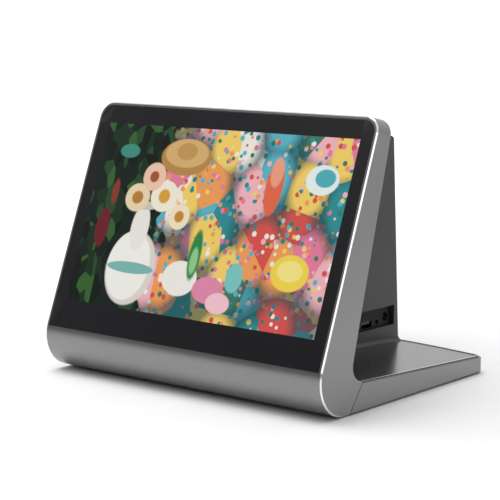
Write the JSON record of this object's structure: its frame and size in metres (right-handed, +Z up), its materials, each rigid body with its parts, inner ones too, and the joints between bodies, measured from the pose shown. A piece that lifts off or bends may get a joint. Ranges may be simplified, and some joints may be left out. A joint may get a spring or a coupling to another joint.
{
  "type": "smart display",
  "caption": "Desktop smart display: leaned-back glass screen in a silver frame, wedge-shaped base, and a dark rear housing with sockets, loudspeaker and keys.",
  "frame": {"origin": "on the table surface, under the middle of the overall box", "axes": "+X to the right as the user sees the screen, +Y to the rear, +Z up"},
  "size_m": [0.24, 0.203, 0.1854],
  "materials": {
    "silver_paint": "moulded plastic with metallic space-grey paint, satin",
    "cover_glass": "cover glass, black printed border",
    "lcd_cell": "liquid crystal cell",
    "backlight": "light guide with white reflector",
    "pressed_steel": "zinc-plated pressed steel",
    "screw_steel": "blackened steel screws",
    "circuit_board": "glass-epoxy board, green solder mask",
    "antenna_foil": "copper on polyimide film",
    "dark_grey_plastic": "moulded dark grey plastic, fine texture",
    "flat_cable": "polyimide flat cable",
    "base_plate_paint": "metallic space-grey paint, smooth",
    "underside_plastic": "moulded dark plastic, textured",
    "rubber": "moulded rubber",
    "black_plastic": "moulded black plastic",
    "tinned_steel": "tinned sheet steel",
    "heatsink_aluminium": "extruded aluminium",
    "socket_grey_plastic": "moulded dark grey plastic",
    "speaker_steel": "pressed steel basket and magnet",
    "paper_cone": "black paper cone",
    "foam": "closed-cell foam ring",
    "key_plastic": "moulded plastic key, satin"
  },
  "bodies": {
    "root": {"front_frame": "silver_paint", "cover_glass": "cover_glass", "lcd_panel": "lcd_cell", "backlight_unit": "backlight", "display_tray": "pressed_steel", "tray_screws": "screw_steel", "microphone_board": "circuit_board", "antenna_left": "antenna_foil", "antenna_right": "antenna_foil", "panel_back_cover": "dark_grey_plastic", "cover_screws": "screw_steel", "display_flex": "flat_cable", "base_frame": "silver_paint", "base_top_plate": "base_plate_paint", "base_bottom_plate": "underside_plastic", "ballast_plate": "pressed_steel", "bottom_screws": "screw_steel", "rubber_feet": "rubber", "rear_housing": "dark_grey_plastic", "housing_screws": "screw_steel", "port_plate": "black_plastic", "main_board": "circuit_board", "board_screws": "screw_steel", "shield_can": "tinned_steel", "heatsink": "heatsink_aluminium", "power_jack": "black_plastic", "audio_jack": "black_plastic", "usb_sockets": "tinned_steel", "network_jack": "socket_grey_plastic", "speaker_box": "black_plastic", "speaker_driver": "speaker_steel", "speaker_cone": "paper_cone", "speaker_gasket": "foam", "speaker_screws": "screw_steel", "key_board": "circuit_board", "key_board_screws": "screw_steel"},
    "power_key": {"power_key": "key_plastic"},
    "volume_up_key": {"volume_up_key": "key_plastic"},
    "volume_down_key": {"volume_down_key": "key_plastic"}
  },
  "joints": [
    {"name": "power_press", "type": "slide", "parent": "root", "child": "power_key", "axis": [1, 0, 0], "range_m": [0, 0.0006], "stiffness_N_per_m": 1500},
    {"name": "volume_up_press", "type": "slide", "parent": "root", "child": "volume_up_key", "axis": [1, 0, 0], "range_m": [0, 0.0006], "stiffness_N_per_m": 1500},
    {"name": "volume_down_press", "type": "slide", "parent": "root", "child": "volume_down_key", "axis": [1, 0, 0], "range_m": [0, 0.0006], "stiffness_N_per_m": 1500}
  ]
}
